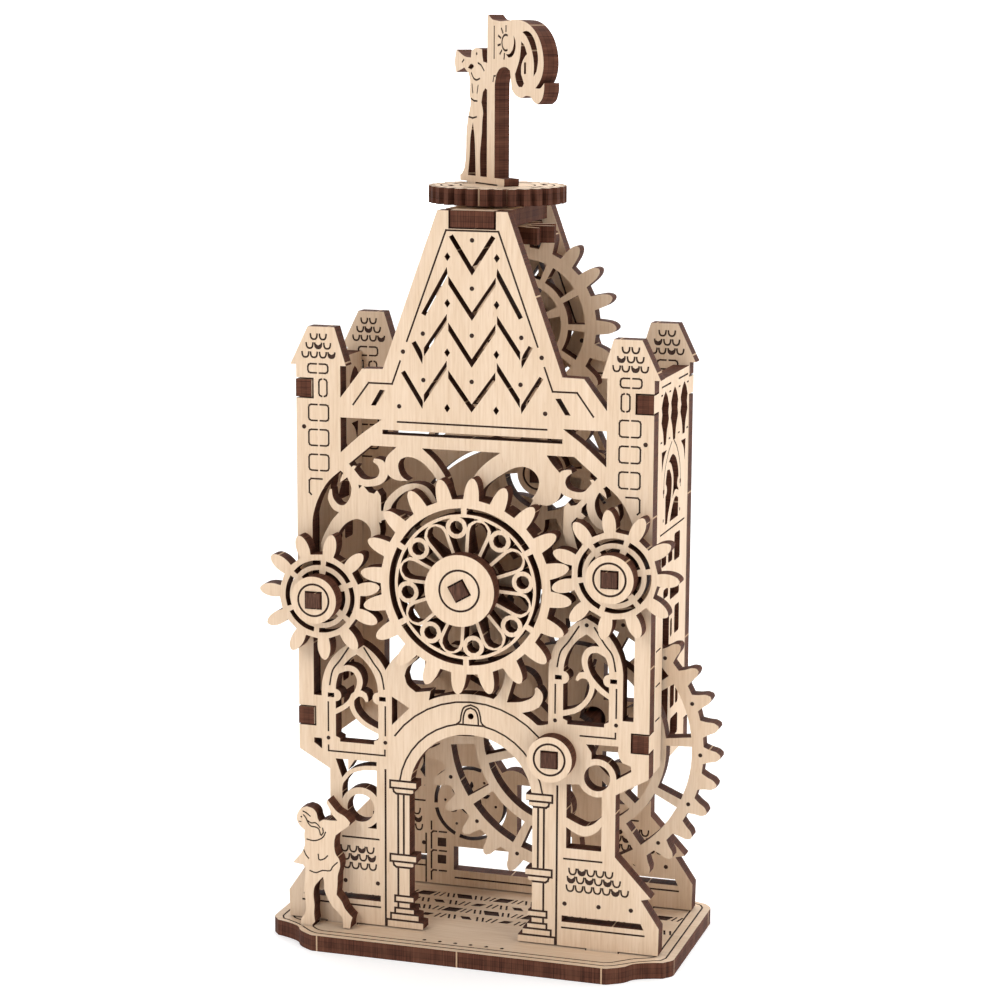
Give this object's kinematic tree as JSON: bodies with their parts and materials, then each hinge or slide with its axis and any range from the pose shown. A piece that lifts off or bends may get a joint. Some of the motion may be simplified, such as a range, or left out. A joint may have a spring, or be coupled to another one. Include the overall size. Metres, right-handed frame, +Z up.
{
  "type": "wooden tower puzzle model",
  "caption": "Laser-cut plywood puzzle model of a gothic clock tower: rose-window gear, side gears, a large wheel through the wall and a turning crown that carries a flag.",
  "frame": {"origin": "middle of the whole object's box, on the underside of the base plate", "axes": "+Z up, the facade with the rose gear faces -Y, +X to the right of someone who looks at the facade"},
  "size_m": [0.0915, 0.0502, 0.186],
  "materials": {
    "birch_ply": "bare laser-cut birch plywood, fine vertical grain, dark burnt edges",
    "burnt_ply": "cut edges of plywood bars, burnt dark brown by the laser"
  },
  "bodies": {
    "tower": {"base_plate": "birch_ply", "front_panel": "birch_ply", "back_panel": "birch_ply", "left_side_panel": "birch_ply", "right_side_panel": "birch_ply", "top_deck": "birch_ply", "dancer_figure": "birch_ply"},
    "drive": {"drive_wheel": "birch_ply", "drive_axle": "burnt_ply", "drive_cap": "birch_ply", "drive_back_cap": "birch_ply"},
    "rose": {"rose_gear": "birch_ply", "rose_axle": "burnt_ply", "rose_cap": "birch_ply", "rose_drive_pinion": "birch_ply", "rose_upper_pinion": "birch_ply", "rose_back_cap": "birch_ply"},
    "left": {"left_gear": "birch_ply", "left_axle": "burnt_ply", "left_cap": "birch_ply", "left_retainer": "birch_ply"},
    "right": {"right_gear": "birch_ply", "right_axle": "burnt_ply", "right_cap": "birch_ply", "right_retainer": "birch_ply"},
    "idler": {"idler_gear": "birch_ply", "idler_axle": "burnt_ply", "idler_cap": "birch_ply", "idler_back_cap": "birch_ply"},
    "upper": {"upper_gear": "birch_ply", "upper_axle": "burnt_ply", "upper_cap": "birch_ply", "upper_back_cap": "birch_ply"},
    "crown": {"crown_gear": "birch_ply", "crown_pinion": "birch_ply", "crown_retainer": "birch_ply", "crown_axle": "burnt_ply", "flag_and_herald": "birch_ply"}
  },
  "joints": [
    {"name": "drive_turn", "type": "hinge", "parent": "tower", "child": "drive", "pos_m": [0.01485, -0.0038, 0.0428], "axis": [0, 1, 0], "continuous": true},
    {"name": "rose_turn", "type": "hinge", "parent": "tower", "child": "rose", "pos_m": [-0.00255, -0.0182, 0.0761], "axis": [0, 1, 0], "continuous": true},
    {"name": "left_turn", "type": "hinge", "parent": "tower", "child": "left", "pos_m": [-0.03285, -0.0182, 0.0721], "axis": [0, 1, 0], "continuous": true},
    {"name": "right_turn", "type": "hinge", "parent": "tower", "child": "right", "pos_m": [0.02755, -0.0182, 0.0804], "axis": [0, 1, 0], "continuous": true},
    {"name": "idler_turn", "type": "hinge", "parent": "tower", "child": "idler", "pos_m": [0.00489, 0.01, 0.09483], "axis": [0, 1, 0], "continuous": true},
    {"name": "upper_turn", "type": "hinge", "parent": "tower", "child": "upper", "pos_m": [0.00015, 0.01, 0.1247], "axis": [0, 1, 0], "continuous": true},
    {"name": "crown_turn", "type": "hinge", "parent": "tower", "child": "crown", "pos_m": [-0.00245, 0, 0.15135], "axis": [0, 0, 1], "continuous": true}
  ],
  "couplings": [
    {"joint": "rose_turn", "follows": "drive_turn", "ratio": -3.5556},
    {"joint": "left_turn", "follows": "drive_turn", "ratio": 6.4646},
    {"joint": "right_turn", "follows": "drive_turn", "ratio": 6.4646},
    {"joint": "idler_turn", "follows": "drive_turn", "ratio": 2.4615},
    {"joint": "upper_turn", "follows": "drive_turn", "ratio": -1.6},
    {"joint": "crown_turn", "follows": "drive_turn", "ratio": 2.6667}
  ]
}
